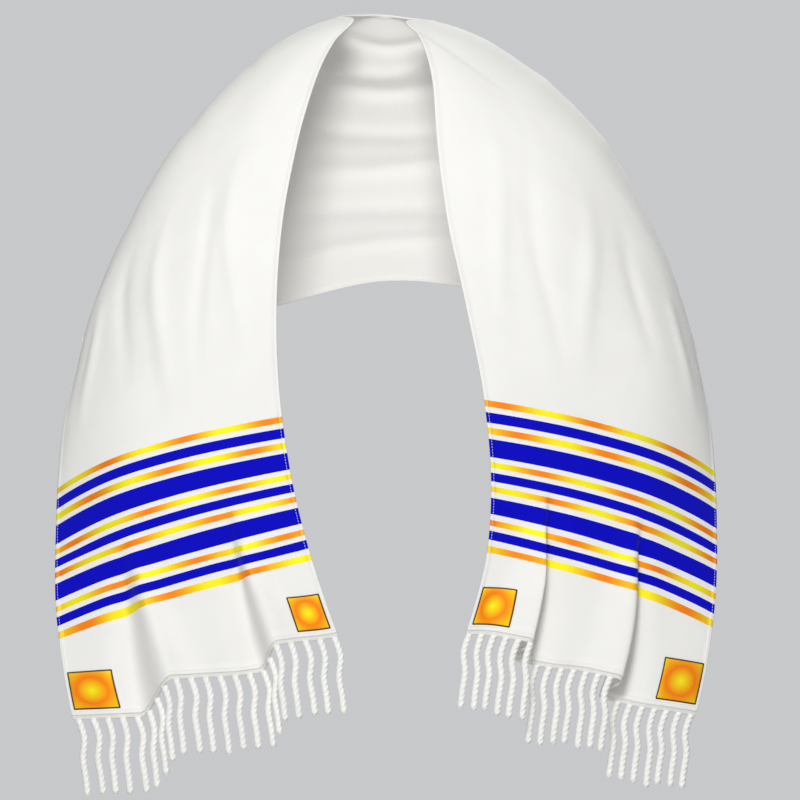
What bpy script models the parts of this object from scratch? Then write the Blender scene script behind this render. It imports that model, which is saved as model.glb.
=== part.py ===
"""Stole-cut tallit, draped as it is worn, and hollow.

One woven panel goes round the neck and hangs down in front. Four corner patches are sewn on
it, and each end has a fringe. Metres, +Z up, the front faces -Y. The origin lies between the
wearer's shoulders, level with the neck edge. Left and right are as seen from the front.
"""

import math
from collections import namedtuple

import bmesh
import bpy
import numpy as np

# The woven panel as it is cut, and the wall that stands for its cloth.
CUT_WIDTH = 0.46
CUT_LENGTH = 1.83
HALF_LENGTH = CUT_LENGTH / 2
WALL = 0.0020
HEM_WALL = 0.0028
HEM_WIDTH = 0.006
HEM_STEP = 0.0015
SEAM_GAP = 0.0003

# The arch that the shoulders give the cloth, seen from the front: an upper and a lower ellipse.
ARCH_CENTRE_Z = -0.636
ARCH_REACH = 0.398
ARCH_RISE = 0.646
ARCH_FALL = 0.580
ARCH_FULLNESS = 1.02
ARCH_LEAN = 0.0045

# How deep the drape is at each height. ridge is where the shoulder line runs, front and back
# are the depths on its two sides, and facing is how far the outer edge has turned forward.
Depth = namedtuple("Depth", "z ridge front back facing")
DEPTHS = [
    Depth(-0.840, -0.015, 0.128, 0.140, 38.0),
    Depth(-0.720, -0.012, 0.138, 0.140, 29.0),
    Depth(-0.600, -0.008, 0.146, 0.140, 16.0),
    Depth(-0.500, -0.004, 0.148, 0.140, 6.0),
    Depth(-0.400, 0.000, 0.145, 0.140, 0.0),
    Depth(-0.300, 0.004, 0.140, 0.139, 0.0),
    Depth(-0.200, 0.009, 0.128, 0.127, 0.0),
    Depth(-0.100, 0.016, 0.105, 0.102, 0.0),
    Depth(-0.050, 0.022, 0.083, 0.076, 0.0),
    Depth(0.000, 0.029, 0.050, 0.045, 0.0),
    Depth(0.010, 0.031, 0.040, 0.038, 0.0),
]

# Sections across a front panel. run is the distance from the panel's hem along the cloth.
Front = namedtuple("Front", "run edge_x edge_z outer_z")
LEFT_FRONT = [
    Front(0.000, -0.059, -0.734, -0.835),
    Front(0.090, -0.088, -0.649, -0.742),
    Front(0.180, -0.110, -0.565, -0.650),
    Front(0.275, -0.124, -0.480, -0.558),
    Front(0.400, -0.131, -0.360, -0.485),
    Front(0.520, -0.124, -0.240, -0.440),
    Front(0.620, -0.106, -0.144, -0.412),
    Front(0.700, -0.085, -0.072, -0.394),
    Front(0.750, -0.062, -0.024, -0.384),
]
RIGHT_FRONT = [
    Front(0.000, 0.097, -0.732, -0.830),
    Front(0.090, 0.121, -0.640, -0.728),
    Front(0.180, 0.126, -0.552, -0.633),
    Front(0.275, 0.118, -0.460, -0.538),
    Front(0.400, 0.095, -0.340, -0.470),
    Front(0.520, 0.071, -0.224, -0.428),
    Front(0.620, 0.060, -0.130, -0.400),
    Front(0.700, 0.053, -0.060, -0.382),
    Front(0.750, 0.037, -0.016, -0.372),
]

# Sections round the neck and the back. A turn of 0 is at the side and 90 is the middle back.
Round = namedtuple("Round", "run edge_turn edge_z outer_turn outer_z")
LEFT_BACK = [
    Round(0.785, -54.0, 0.000, 6.0, -0.384),
    Round(0.825, -12.0, 0.003, 36.0, -0.371),
    Round(0.865, 34.0, 0.006, 61.0, -0.351),
]
RIGHT_BACK = [
    Round(0.785, -70.0, 0.000, 6.0, -0.371),
    Round(0.825, -20.0, 0.003, 36.0, -0.355),
    Round(0.865, 30.0, 0.006, 61.0, -0.334),
]
MIDDLE_BACK = Round(0.915, 90.0, 0.009, 90.0, -0.312)

# The folds at the two hems. across is the fold's place on the width, size is half its width,
# depth and lean are how far it swings out and over, drop is the hem's step, reach its height.
Fold = namedtuple("Fold", "across size depth lean drop reach")
LEFT_FOLDS = [
    Fold(0.256, 0.021, 0.017, 0.004, 0.036, 0.21),
    Fold(0.676, 0.026, 0.019, -0.002, 0.044, 0.19),
]
RIGHT_FOLDS = [
    Fold(0.236, 0.023, 0.019, 0.024, 0.038, 0.21),
    Fold(0.622, 0.023, 0.019, 0.022, 0.037, 0.20),
]
# The hem's steps are whole up to the hold, fade out by the reach, and spread over this many
# fold sizes. A bow below one drops the hem sooner along its width, and one above it later.
LEFT_HEM_BOW = 0.6
RIGHT_HEM_BOW = 2.0
HEM_STEP_HOLD = 0.035
HEM_STEP_REACH = 0.105
HEM_STEP_SPREAD = 1.2
# A fold narrows to this share of its size at its top.
FOLD_TOP_SIZE = 0.5

# Where the wall's points lie, as stretches of the width and of the length from a hem.
Stretch = namedtuple("Stretch", "start end cells")
PATCH_START = HEM_WIDTH + HEM_STEP
INNER_PATCH = 0.054
OUTER_PATCH = 0.080
PATCH_HEIGHT = 0.042
WIDTH_STRETCHES = [
    Stretch(0.0, HEM_WIDTH, 1),
    Stretch(HEM_WIDTH, PATCH_START, 1),
    Stretch(PATCH_START, PATCH_START + INNER_PATCH, 4),
    Stretch(PATCH_START + INNER_PATCH, 0.168, 12),
    Stretch(0.168, 0.235, 2),
    Stretch(0.235, CUT_WIDTH - PATCH_START - OUTER_PATCH, 14),
    Stretch(CUT_WIDTH - PATCH_START - OUTER_PATCH, CUT_WIDTH - PATCH_START, 4),
    Stretch(CUT_WIDTH - PATCH_START, CUT_WIDTH - HEM_WIDTH, 1),
    Stretch(CUT_WIDTH - HEM_WIDTH, CUT_WIDTH, 1),
]
LENGTH_STRETCHES = [
    Stretch(0.0, HEM_WIDTH, 1),
    Stretch(HEM_WIDTH, PATCH_START, 1),
    Stretch(PATCH_START, PATCH_START + PATCH_HEIGHT, 3),
    Stretch(PATCH_START + PATCH_HEIGHT, 0.190, 7),
    Stretch(0.190, 0.750, 11),
    Stretch(0.750, HALF_LENGTH, 8),
]
SECTION_SAMPLES = 160

# How thick a corner patch is.
PATCH_WALL = 0.0012

# The fringe: a narrow header under each hem, and the strands that hang from it. A strand keeps
# clear of the hem's bends sharper than SHARP_BEND degrees. STRAND_MARGIN is the space from the
# hem's end to the first strand, in strand spacings, and STRAND_TIP how thick a strand ends.
HEADER_HEIGHT = 0.005
HEADER_CLEARANCE = 0.0004
SHARP_BEND = 9.0
STRAND_WIDTH = 0.0066
STRAND_DEPTH = 0.0046
STRAND_LENGTH = 0.092
LEFT_STRANDS = 21
RIGHT_STRANDS = 20
STRAND_TIP = 0.5
STRAND_MARGIN = 0.32

# A strand's own wave. down is the share of its length, sway is its shift towards the opening,
# thickness is its share of the full width and depth.
Wave = namedtuple("Wave", "down sway thickness")
STRAND_WAVE = [
    Wave(0.10, 0.0036, 1.0),
    Wave(0.25, 0.0072, 1.0),
    Wave(0.52, 0.0058, 1.0),
    Wave(0.78, 0.0092, 1.0),
    Wave(0.97, 0.0112, 1.0),
    Wave(1.00, 0.0114, STRAND_TIP),
]

# Edges that turn more than this are shaded sharp.
SHARP_EDGE = math.radians(50)

# The colours of the cloth, the fringe and the patches.
CLOTH_WHITE = (0.86, 0.85, 0.81)
FRINGE_WHITE = (0.80, 0.78, 0.73)
PATCH_GOLD = (0.86, 0.47, 0.07)


def smooth_curve(knots, values):
    """Give a smooth curve through a table's rows, in cubic pieces that share their slopes."""
    knots = np.array(knots)
    values = np.array(values)
    slopes = np.gradient(values, knots)

    def height_at(place):
        place = np.clip(place, knots[0], knots[-1])
        piece = np.clip(np.searchsorted(knots, place) - 1, 0, len(knots) - 2)
        length = knots[piece + 1] - knots[piece]
        share = (place - knots[piece]) / length
        rest = 1 - share
        ends = values[piece] * rest**2 * (1 + 2 * share) + values[piece + 1] * share**2 * (1 + 2 * rest)
        bends = slopes[piece] * share * rest**2 - slopes[piece + 1] * share**2 * rest
        return ends + bends * length

    return height_at


def column(rows, name):
    return [getattr(row, name) for row in rows]


def smooth_step(share):
    share = np.clip(share, 0.0, 1.0)
    return share * share * (3 - 2 * share)


def unit(vectors):
    return vectors / np.linalg.norm(vectors, axis=-1, keepdims=True)


ridge_at = smooth_curve(column(DEPTHS, "z"), column(DEPTHS, "ridge"))
front_at = smooth_curve(column(DEPTHS, "z"), column(DEPTHS, "front"))
back_at = smooth_curve(column(DEPTHS, "z"), column(DEPTHS, "back"))
facing_at = smooth_curve(column(DEPTHS, "z"), column(DEPTHS, "facing"))


def fall_of(z):
    """Give the angle down the arch, from its top, at a height."""
    above = z - ARCH_CENTRE_Z
    return math.acos(above / (ARCH_RISE if above > 0 else ARCH_FALL))


def arch_width(fall, z):
    """Give the drape's half width at a height, widened where the outer edge faces forward."""
    return ARCH_REACH * np.sin(fall) ** ARCH_FULLNESS / np.cos(np.radians(facing_at(z)))


def drape_point(turn, fall):
    """Give the point at an angle round the body and an angle down the arch."""
    rise = np.where(fall < math.pi / 2, ARCH_RISE, ARCH_FALL)
    z = ARCH_CENTRE_Z + rise * np.cos(fall)
    depth = np.where(np.sin(turn) < 0, front_at(z), back_at(z))
    x = arch_width(fall, z) * np.cos(turn) + ARCH_LEAN * np.sin(2 * fall)
    y = ridge_at(z) + depth * np.sin(turn)
    return np.stack([x, y, z], axis=-1)


def front_turn(edge_x, edge_z):
    """Give the angle round the body at which the front edge stands at its given x."""
    fall = fall_of(edge_z)
    share = abs(edge_x - ARCH_LEAN * math.sin(2 * fall)) / arch_width(fall, edge_z)
    return -math.acos(share)


def half_sections(front_rows, back_rows, mirrored):
    """Give each section's run and its two ends as angles, for one half of the panel."""
    sections = []
    for row in front_rows:
        ends = [front_turn(row.edge_x, row.edge_z), fall_of(row.edge_z)]
        ends += [-math.radians(float(facing_at(row.outer_z))), fall_of(row.outer_z)]
        sections.append([row.run] + ends)
    for row in back_rows:
        ends = [math.radians(row.edge_turn), fall_of(row.edge_z)]
        ends += [math.radians(row.outer_turn), fall_of(row.outer_z)]
        sections.append([row.run] + ends)
    sections = np.array(sections)
    if mirrored:
        sections[:, 1] = math.pi - sections[:, 1]
        sections[:, 3] = math.pi - sections[:, 3]
    return sections


def whole_sections():
    """Give the sections from the left hem, round the neck, to the right hem."""
    left = half_sections(LEFT_FRONT, LEFT_BACK, mirrored=True)
    middle = half_sections([], [MIDDLE_BACK], mirrored=False)
    right = half_sections(RIGHT_FRONT, RIGHT_BACK, mirrored=False)[::-1]
    right[:, 0] = CUT_LENGTH - right[:, 0]
    return np.concatenate([left, middle, right])


def stops(stretches):
    """Give the places of the wall's points along a list of stretches."""
    places = [stretches[0].start]
    for stretch in stretches:
        inner = np.linspace(stretch.start, stretch.end, stretch.cells + 1)[1:]
        places.extend(inner)
    return np.array(places)


WIDTH_STOPS = stops(WIDTH_STRETCHES)
HALF_STOPS = stops(LENGTH_STRETCHES)
LENGTH_STOPS = np.concatenate([HALF_STOPS, CUT_LENGTH - HALF_STOPS[-2::-1]])


def even_section(edge_turn, edge_fall, outer_turn, outer_fall):
    """Give the section's points at the width stops, spaced by its length."""
    share = np.linspace(0, 1, SECTION_SAMPLES)
    turn = edge_turn + (outer_turn - edge_turn) * share
    fall = edge_fall + (outer_fall - edge_fall) * share
    samples = drape_point(turn, fall)
    steps = np.linalg.norm(np.diff(samples, axis=0), axis=1)
    travelled = np.concatenate([[0], np.cumsum(steps)])
    wanted = WIDTH_STOPS / CUT_WIDTH * travelled[-1]
    points = [np.interp(wanted, travelled, samples[:, axis]) for axis in range(3)]
    return np.stack(points, axis=-1)


def plain_drape():
    """Give the panel's middle surface before its folds, as a grid along and across."""
    sections = whole_sections()
    ends = [smooth_curve(sections[:, 0], sections[:, k]) for k in range(1, 5)]
    return np.array([even_section(*[end(run) for end in ends]) for run in LENGTH_STOPS])


def headings(grid, axis):
    """Give the unit direction at each point, halfway between those of its two cells."""
    steps = unit(np.diff(grid, axis=axis))
    before = np.concatenate([np.take(steps, [0], axis=axis), steps], axis=axis)
    after = np.concatenate([steps, np.take(steps, [-1], axis=axis)], axis=axis)
    return unit(before + after)


def directions(grid):
    """Give the surface's unit directions along, across and outward at each point."""
    along = headings(grid, 0)
    across = headings(grid, 1)
    outward = unit(np.cross(along, across))
    return along, across, outward


def swing(place):
    """Rise to one on the near side of a fold and fall to minus one on its far side."""
    return -math.sqrt(math.e) * place * np.exp(-place * place / 2)


def stepped_hem(start_z, end_z, folds, bow):
    """Give the hem's height across the panel, with a step down at each fold."""
    share = WIDTH_STOPS / CUT_WIDTH
    steps = sum(fold.drop for fold in folds)
    height = start_z + (end_z - start_z + steps) * share**bow
    for fold in folds:
        spread = HEM_STEP_SPREAD * fold.size / CUT_WIDTH
        height = height - fold.drop * smooth_step((share - fold.across + spread) / (2 * spread))
    return height


def fold_panel(grid, rows, folds, bow):
    """Swing the folds out of one front panel, from its hem up."""
    along, across, outward = directions(grid)
    share = WIDTH_STOPS / CUT_WIDTH
    hem = rows[0]
    hem_shift = stepped_hem(grid[hem, 0, 2], grid[hem, -1, 2], folds, bow) - grid[hem, :, 2]
    shifts = np.zeros_like(grid)
    for row in rows:
        run = min(LENGTH_STOPS[row], CUT_LENGTH - LENGTH_STOPS[row])
        past_hold = (run - HEM_STEP_HOLD) / (HEM_STEP_REACH - HEM_STEP_HOLD)
        shifts[row, :, 2] += hem_shift * (1 - smooth_step(past_hold))
        for fold in folds:
            fading = 1 - smooth_step(run / fold.reach)
            size = fold.size * (FOLD_TOP_SIZE + (1 - FOLD_TOP_SIZE) * fading)
            strength = fading * swing((share - fold.across) * CUT_WIDTH / size)
            shifts[row] += (strength * fold.depth)[:, None] * outward[row]
            shifts[row] += (strength * fold.lean)[:, None] * across[row]
    return grid + shifts


def wall_thickness():
    """Give the wall's thickness at each point: the turned hems are thicker than the cloth."""
    thickness = np.full((len(LENGTH_STOPS), len(WIDTH_STOPS)), WALL)
    thickness[:2] = HEM_WALL
    thickness[-2:] = HEM_WALL
    thickness[:, :2] = HEM_WALL
    thickness[:, -2:] = HEM_WALL
    return thickness


def drape():
    """Give the panel's outer and inner surfaces and its direction along, as grids."""
    grid = plain_drape()
    last = len(LENGTH_STOPS) - 1
    half = last // 2
    grid = fold_panel(grid, list(range(0, half)), LEFT_FOLDS, LEFT_HEM_BOW)
    grid = fold_panel(grid, list(range(last, half, -1)), RIGHT_FOLDS, RIGHT_HEM_BOW)
    along, across, outward = directions(grid)
    lift = outward * wall_thickness()[:, :, None] / 2
    return grid + lift, grid - lift, along, outward


def coloured(name, colour, roughness):
    """Give a plain material of one colour."""
    material = bpy.data.materials.new(name)
    material.use_nodes = True
    shader = material.node_tree.nodes["Principled BSDF"]
    shader.inputs["Base Color"].default_value = (*colour, 1.0)
    shader.inputs["Roughness"].default_value = roughness
    shader.inputs["Metallic"].default_value = 0.0
    return material


def add_piece(name, points, faces, material):
    """Add one closed piece with its own material and its faces pointing out."""
    mesh = bpy.data.meshes.new(name)
    mesh.from_pydata([tuple(point) for point in points], [], faces)
    mesh.validate()
    mesh.materials.append(material)
    mesh.shade_smooth()
    mesh.set_sharp_from_angle(angle=SHARP_EDGE)
    piece = bpy.data.objects.new(name, mesh)
    bpy.context.scene.collection.objects.link(piece)
    return piece


def closed_wall(outer, inner):
    """Give the points and faces of the wall between two grids of the same size."""
    rows, columns = outer.shape[:2]
    points = np.concatenate([outer.reshape(-1, 3), inner.reshape(-1, 3)])
    under = rows * columns
    faces = []
    for i in range(rows - 1):
        for j in range(columns - 1):
            corner = i * columns + j
            quad = [corner, corner + columns, corner + columns + 1, corner + 1]
            faces.append(quad)
            faces.append([under + k for k in reversed(quad)])
    rim = list(range(columns))
    rim += [i * columns + columns - 1 for i in range(1, rows)]
    rim += [(rows - 1) * columns + j for j in range(columns - 2, -1, -1)]
    rim += [i * columns for i in range(rows - 2, 0, -1)]
    for here, there in zip(rim, rim[1:] + rim[:1]):
        near, far = sorted([here, there])
        faces.append([near, far, under + far])
        faces.append([near, under + far, under + near])
    return points, faces


def add_shawl(outer, inner):
    """Make the woven panel, one wall from hem to hem."""
    points, faces = closed_wall(outer, inner)
    return add_piece("shawl_cloth", points, faces, coloured("woven_wool", CLOTH_WHITE, 0.85))


def add_patch(name, outer, outward, rows, columns):
    """Make one corner patch from the cloth's own points, moved out by the seam gap."""
    under = outer[rows, columns] + outward[rows, columns] * SEAM_GAP
    over = under + outward[rows, columns] * PATCH_WALL
    points, faces = closed_wall(over, under)
    return add_piece(name, points, faces, coloured("gold_brocade", PATCH_GOLD, 0.4))


def add_patches(outer, outward):
    """Make the four corner patches, just inside the hems."""
    low = HALF_STOPS.searchsorted(PATCH_START - SEAM_GAP)
    high = HALF_STOPS.searchsorted(PATCH_START + PATCH_HEIGHT - SEAM_GAP)
    first = WIDTH_STOPS.searchsorted(PATCH_START - SEAM_GAP)
    near = WIDTH_STOPS.searchsorted(PATCH_START + INNER_PATCH - SEAM_GAP)
    far = WIDTH_STOPS.searchsorted(CUT_WIDTH - PATCH_START - OUTER_PATCH - SEAM_GAP)
    last_row = len(LENGTH_STOPS) - 1
    last_column = len(WIDTH_STOPS) - 1
    left_rows = slice(low, high + 1)
    right_rows = slice(last_row - high, last_row - low + 1)
    inner_columns = slice(first, near + 1)
    outer_columns = slice(far, last_column - first + 1)
    add_patch("patch_left_inner", outer, outward, left_rows, inner_columns)
    add_patch("patch_left_outer", outer, outward, left_rows, outer_columns)
    add_patch("patch_right_inner", outer, outward, right_rows, inner_columns)
    add_patch("patch_right_outer", outer, outward, right_rows, outer_columns)


class HemLine:
    """The hem's bottom rim: its outer and inner points and the direction down."""

    def __init__(self, outer, inner, down):
        self.outer = outer
        self.inner = inner
        self.down = down
        middle = (outer + inner) / 2
        steps = np.diff(middle, axis=0)
        self.lengths = np.concatenate([[0], np.cumsum(np.linalg.norm(steps, axis=1))])
        reach = abs(middle[:, 0] - middle[0, 0])
        in_front = reach[1:] > np.maximum.accumulate(reach)[:-1]
        seen = np.where(in_front, np.linalg.norm(steps[:, [0, 2]], axis=1), 0)
        self.seen_lengths = np.concatenate([[0], np.cumsum(seen)])
        ways = unit(steps)
        turned = np.degrees(np.arccos(np.clip((ways[1:] * ways[:-1]).sum(axis=1), -1, 1)))
        self.bends = self.lengths[[0, *(np.flatnonzero(turned > SHARP_BEND) + 1), -1]]

    def read(self, values, place):
        return np.array([np.interp(place, self.lengths, values[:, axis]) for axis in range(3)])

    def header_section(self, place):
        """Give the header's four corners: top outer, top inner, bottom inner, bottom outer."""
        down = unit(self.read(self.down, place))
        outer = self.read(self.outer, place) + down * SEAM_GAP
        inner = self.read(self.inner, place) + down * SEAM_GAP
        return np.array([outer, inner, inner + down * HEADER_HEIGHT, outer + down * HEADER_HEIGHT])

    def strand_places(self, count):
        """Give the strands' middles, evenly spaced as the front view shows the hem."""
        shares = (np.arange(count) + STRAND_MARGIN) / (count - 1 + 2 * STRAND_MARGIN)
        places = np.interp(shares * self.seen_lengths[-1], self.seen_lengths, self.lengths)
        return np.array([self.nearest_seat(place) for place in places])

    def nearest_seat(self, place):
        """Give the nearest place where a strand's root lies between two bends of the hem."""
        reach = STRAND_WIDTH / 2 + HEADER_CLEARANCE
        first = self.bends[:-1] + reach
        last = self.bends[1:] - reach
        wide = first <= last
        seats = np.clip(place, first[wide], last[wide])
        return seats[np.argmin(abs(seats - place))]


def strand_rings(root, towards_opening):
    """Give the rings of one strand below its root, from its four root corners."""
    middle = root.mean(axis=0)
    sideways = (root[2] + root[3] - root[0] - root[1]) * np.array([1, 1, 0])
    sideways = unit(sideways) * STRAND_WIDTH / 2
    outward = unit(np.array([-sideways[1], sideways[0], 0])) * towards_opening * STRAND_DEPTH / 2
    corners = [outward - sideways, -outward - sideways, -outward + sideways, outward + sideways]
    rings = []
    for wave in STRAND_WAVE:
        shift = np.array([towards_opening * wave.sway, 0, -wave.down * STRAND_LENGTH])
        rings.append([middle + shift + corner * wave.thickness for corner in corners])
    return rings


def add_fringe(name, hem, count, towards_opening):
    """Make one fringe: a header along the hem, with strands grown from its underside."""
    middles = hem.strand_places(count)
    starts = middles - STRAND_WIDTH / 2
    ends = middles + STRAND_WIDTH / 2
    between = [place for place in hem.lengths if not any((starts <= place) & (place <= ends))]
    places = sorted([*between, *starts, *ends])
    points = []
    faces = []
    for place in places:
        points.extend(hem.header_section(place))
    for k, place in enumerate(places[:-1]):
        near = [4 * k + corner for corner in range(4)]
        far = [corner + 4 for corner in near]
        faces.append([near[0], far[0], far[1]])
        faces.append([near[0], far[1], near[1]])
        faces.append([near[1], far[1], far[2], near[2]])
        faces.append([near[3], far[3], far[0], near[0]])
        if place not in starts:
            faces.append([near[2], far[2], far[3], near[3]])
        if place in starts:
            ring = [near[3], near[2], far[2], far[3]]
            for corners in strand_rings(np.array([points[corner] for corner in ring]), towards_opening):
                lower = list(range(len(points), len(points) + 4))
                points.extend(corners)
                for side in range(4):
                    after = (side + 1) % 4
                    faces.append([ring[side], ring[after], lower[after], lower[side]])
                ring = lower
            faces.append(ring)
    faces.append([0, 1, 2, 3])
    faces.append([4 * len(places) - 4 + corner for corner in range(4)])
    return add_piece(name, points, faces, coloured("fringe_wool", FRINGE_WHITE, 0.9))


def point_outwards():
    """Turn every piece's faces outwards."""
    for piece in bpy.context.scene.objects:
        shape = bmesh.new()
        shape.from_mesh(piece.data)
        bmesh.ops.recalc_face_normals(shape, faces=shape.faces)
        shape.to_mesh(piece.data)
        shape.free()


def build():
    for old in list(bpy.data.objects):
        bpy.data.objects.remove(old, do_unlink=True)
    outer, inner, along, outward = drape()
    add_shawl(outer, inner)
    add_patches(outer, outward)
    left_hem = HemLine(outer[0], inner[0], -along[0])
    right_hem = HemLine(outer[-1], inner[-1], along[-1])
    add_fringe("fringe_left", left_hem, LEFT_STRANDS, 1)
    add_fringe("fringe_right", right_hem, RIGHT_STRANDS, -1)
    point_outwards()


build()
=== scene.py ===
import math
from collections import namedtuple

import bmesh
import bpy
import numpy as np
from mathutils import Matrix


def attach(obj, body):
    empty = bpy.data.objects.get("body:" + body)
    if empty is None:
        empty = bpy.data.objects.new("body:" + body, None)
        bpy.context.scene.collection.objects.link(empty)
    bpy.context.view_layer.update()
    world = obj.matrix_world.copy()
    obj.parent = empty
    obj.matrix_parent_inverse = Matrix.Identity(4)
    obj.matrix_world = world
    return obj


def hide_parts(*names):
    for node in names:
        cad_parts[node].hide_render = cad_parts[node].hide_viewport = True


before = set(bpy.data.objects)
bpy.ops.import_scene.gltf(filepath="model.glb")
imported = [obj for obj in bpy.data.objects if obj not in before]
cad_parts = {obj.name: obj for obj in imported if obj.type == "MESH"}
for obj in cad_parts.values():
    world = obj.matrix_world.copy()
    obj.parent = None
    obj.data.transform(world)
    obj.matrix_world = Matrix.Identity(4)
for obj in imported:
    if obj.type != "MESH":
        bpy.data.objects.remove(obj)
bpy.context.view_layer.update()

# The woven panel is one rectangle of white wool cloth with blue and gold bands near each end.
# It is woven in plain weave, hemmed by a narrow turn all round, and worn round the neck with
# both ends hanging in front, where it has settled into folds and soft creases.
CUT_WIDTH = 0.46
CUT_LENGTH = 1.83
HALF_LENGTH = CUT_LENGTH / 2
CLOTH_THICKNESS = 0.0012
HEM_THICKNESS = 0.0024
HEM_WIDTH = 0.006
HEM_STEP = 0.0015

# The arch that the shoulders give the cloth, seen from the front: an upper and a lower ellipse.
ARCH_CENTRE_Z = -0.636
ARCH_REACH = 0.398
ARCH_RISE = 0.646
ARCH_FALL = 0.580
ARCH_FULLNESS = 1.02
ARCH_LEAN = 0.0045

# How deep the drape is at each height. ridge is where the shoulder line runs, front and back
# are the depths on its two sides, and facing is how far the outer edge has turned forward.
Depth = namedtuple("Depth", "z ridge front back facing")
DEPTHS = [
    Depth(-0.840, -0.015, 0.128, 0.140, 38.0),
    Depth(-0.720, -0.012, 0.138, 0.140, 29.0),
    Depth(-0.600, -0.008, 0.146, 0.140, 16.0),
    Depth(-0.500, -0.004, 0.148, 0.140, 6.0),
    Depth(-0.400, 0.000, 0.145, 0.140, 0.0),
    Depth(-0.300, 0.004, 0.140, 0.139, 0.0),
    Depth(-0.200, 0.009, 0.128, 0.127, 0.0),
    Depth(-0.100, 0.016, 0.105, 0.102, 0.0),
    Depth(-0.050, 0.022, 0.083, 0.076, 0.0),
    Depth(0.000, 0.029, 0.050, 0.045, 0.0),
    Depth(0.010, 0.031, 0.040, 0.038, 0.0),
]

# Sections across a front panel. run is the distance from the panel's hem along the cloth.
Front = namedtuple("Front", "run edge_x edge_z outer_z")
LEFT_FRONT = [
    Front(0.000, -0.059, -0.734, -0.835),
    Front(0.090, -0.088, -0.649, -0.742),
    Front(0.180, -0.110, -0.565, -0.650),
    Front(0.275, -0.124, -0.480, -0.558),
    Front(0.400, -0.131, -0.360, -0.485),
    Front(0.520, -0.124, -0.240, -0.440),
    Front(0.620, -0.106, -0.144, -0.412),
    Front(0.700, -0.085, -0.072, -0.394),
    Front(0.750, -0.062, -0.024, -0.384),
]
RIGHT_FRONT = [
    Front(0.000, 0.097, -0.732, -0.830),
    Front(0.090, 0.121, -0.640, -0.728),
    Front(0.180, 0.126, -0.552, -0.633),
    Front(0.275, 0.118, -0.460, -0.538),
    Front(0.400, 0.095, -0.340, -0.470),
    Front(0.520, 0.071, -0.224, -0.428),
    Front(0.620, 0.060, -0.130, -0.400),
    Front(0.700, 0.053, -0.060, -0.382),
    Front(0.750, 0.037, -0.016, -0.372),
]

# Sections round the neck and the back. A turn of 0 is at the side and 90 is the middle back.
Round = namedtuple("Round", "run edge_turn edge_z outer_turn outer_z")
LEFT_BACK = [
    Round(0.785, -54.0, 0.000, 6.0, -0.384),
    Round(0.825, -12.0, 0.003, 36.0, -0.371),
    Round(0.865, 34.0, 0.006, 61.0, -0.351),
]
RIGHT_BACK = [
    Round(0.785, -70.0, 0.000, 6.0, -0.371),
    Round(0.825, -20.0, 0.003, 36.0, -0.355),
    Round(0.865, 30.0, 0.006, 61.0, -0.334),
]
MIDDLE_BACK = Round(0.915, 90.0, 0.009, 90.0, -0.312)

# The folds at the two hems. across is the fold's place on the width, size is half its width,
# depth and lean are how far it swings out and over, drop is the hem's step, reach its height.
Fold = namedtuple("Fold", "across size depth lean drop reach")
LEFT_FOLDS = [
    Fold(0.256, 0.021, 0.017, 0.004, 0.036, 0.21),
    Fold(0.676, 0.026, 0.019, -0.002, 0.044, 0.19),
]
RIGHT_FOLDS = [
    Fold(0.236, 0.023, 0.019, 0.024, 0.038, 0.21),
    Fold(0.622, 0.023, 0.019, 0.022, 0.037, 0.20),
]
# The hem's steps are whole up to the hold, fade out by the reach, and spread over this many
# fold sizes. A bow below one drops the hem sooner along its width, and one above it later.
LEFT_HEM_BOW = 0.6
RIGHT_HEM_BOW = 2.0
HEM_STEP_HOLD = 0.035
HEM_STEP_REACH = 0.105
HEM_STEP_SPREAD = 1.2
# A fold narrows to this share of its size at its top.
FOLD_TOP_SIZE = 0.5

# Soft creases, each along a line on the cut. Places along run from the left hem to the right
# hem. A height above zero stands out from the face, and one below zero sinks in.
Crease = namedtuple("Crease", "across along end_across end_along width height wander")
CREASES = [
    Crease(0.110, 0.700, 0.070, 0.340, 0.014, 0.0034, 0.010),
    Crease(0.165, 0.715, 0.135, 0.310, 0.014, -0.0030, -0.012),
    Crease(0.235, 0.705, 0.215, 0.290, 0.016, 0.0038, 0.011),
    Crease(0.310, 0.720, 0.300, 0.360, 0.016, -0.0030, 0.009),
    Crease(0.385, 0.690, 0.390, 0.320, 0.014, 0.0026, -0.010),
    Crease(0.090, 1.140, 0.065, 1.480, 0.014, 0.0032, -0.009),
    Crease(0.150, 1.120, 0.140, 1.530, 0.015, -0.0032, 0.012),
    Crease(0.225, 1.130, 0.200, 1.510, 0.016, 0.0036, -0.011),
    Crease(0.300, 1.110, 0.310, 1.460, 0.015, -0.0028, 0.010),
    Crease(0.380, 1.140, 0.395, 1.510, 0.014, 0.0028, 0.008),
    Crease(0.060, 0.830, 0.070, 1.010, 0.011, 0.0040, 0.006),
    Crease(0.105, 0.770, 0.115, 0.990, 0.012, -0.0035, -0.008),
    Crease(0.155, 0.800, 0.140, 1.050, 0.014, 0.0047, 0.010),
    Crease(0.210, 0.760, 0.225, 1.020, 0.014, -0.0040, 0.009),
    Crease(0.270, 0.810, 0.250, 1.060, 0.016, 0.0049, -0.010),
    Crease(0.335, 0.760, 0.350, 1.030, 0.015, -0.0038, 0.010),
    Crease(0.395, 0.800, 0.380, 1.040, 0.013, 0.0035, -0.007),
]
CREASE_WANDER_TURN = 1.6 * math.pi
CREASE_TAPER = 1.5

# Slow ripples all over the face. across and along are how far each one turns in a metre, in
# radians, and start is where it begins.
Ripple = namedtuple("Ripple", "share across along start")
RIPPLES = [
    Ripple(1.0, 21.0, 9.0, 0.0),
    Ripple(1.0, 13.0, -17.0, 1.9),
    Ripple(0.6, 39.0, 5.0, 0.7),
]
RIPPLE_HEIGHT = 0.0011

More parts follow.
